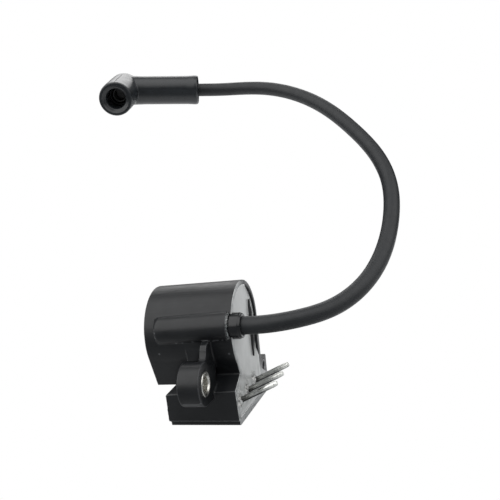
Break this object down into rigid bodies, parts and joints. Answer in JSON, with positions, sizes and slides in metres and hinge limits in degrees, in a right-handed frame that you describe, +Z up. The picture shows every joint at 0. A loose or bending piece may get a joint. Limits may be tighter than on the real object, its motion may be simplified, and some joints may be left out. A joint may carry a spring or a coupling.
{
  "type": "ignition coil",
  "caption": "Potted ignition coil for a small engine: round barrel on a foot block, drilled ear, slanted terminal pins, thick high-tension lead and right-angled plug boot.",
  "frame": {"origin": "on the flat face of the foot, under the barrel's axis and halfway along the foot block", "axes": "+X along the barrel axis towards the potted end that carries the pins, +Y to the back (away from the drilled front ear), +Z up"},
  "size_m": [0.1584, 0.1518, 0.1611],
  "materials": {
    "case": "satin moulded glass-filled plastic",
    "resin": "smooth potting resin",
    "core_steel": "rolled sheet",
    "bobbin": "moulded",
    "copper": "enamelled copper",
    "contact_metal": "stamped",
    "board": "laminate",
    "capacitor_case": "dipped",
    "semiconductor": "moulded",
    "resistor_body": "lacquered",
    "pin_metal": "tinned",
    "bushing_metal": "turned",
    "insert_metal": "turned",
    "collar_plastic": "polished",
    "sealant": "clear glue",
    "lead_jacket": "satin",
    "boot_rubber": "satin",
    "clip_metal": "plated"
  },
  "bodies": {
    "coil": {"housing": "case", "potting": "resin", "core_laminations": "core_steel", "primary_bobbin": "bobbin", "primary_winding": "copper", "secondary_bobbin": "bobbin", "secondary_winding": "copper", "high_tension_plate": "contact_metal", "high_tension_needle": "contact_metal", "circuit_board": "board", "storage_capacitor": "capacitor_case", "thyristor": "semiconductor", "diodes": "semiconductor", "resistors": "resistor_body", "primary_wires": "copper", "earth_pin": "pin_metal", "trigger_pin": "pin_metal", "charge_pin": "pin_metal", "front_bushing": "bushing_metal", "rear_insert": "insert_metal", "lead_collar": "collar_plastic", "sealant_bead": "sealant", "seated_lead": "lead_jacket", "seated_conductor": "copper", "ht_lead": "lead_jacket", "lead_end": "lead_jacket", "end_conductor": "copper"},
    "boot": {"plug_boot": "boot_rubber", "plug_clip": "clip_metal", "clip_spring": "clip_metal", "clip_screw": "clip_metal"}
  },
  "joints": [
    {"name": "boot_turn", "type": "hinge", "parent": "coil", "child": "boot", "pos_m": [-0.072, 0.096, 0.152], "axis": [0.9576, 0.2746, -0.0872], "range_deg": [-90, 90]}
  ]
}
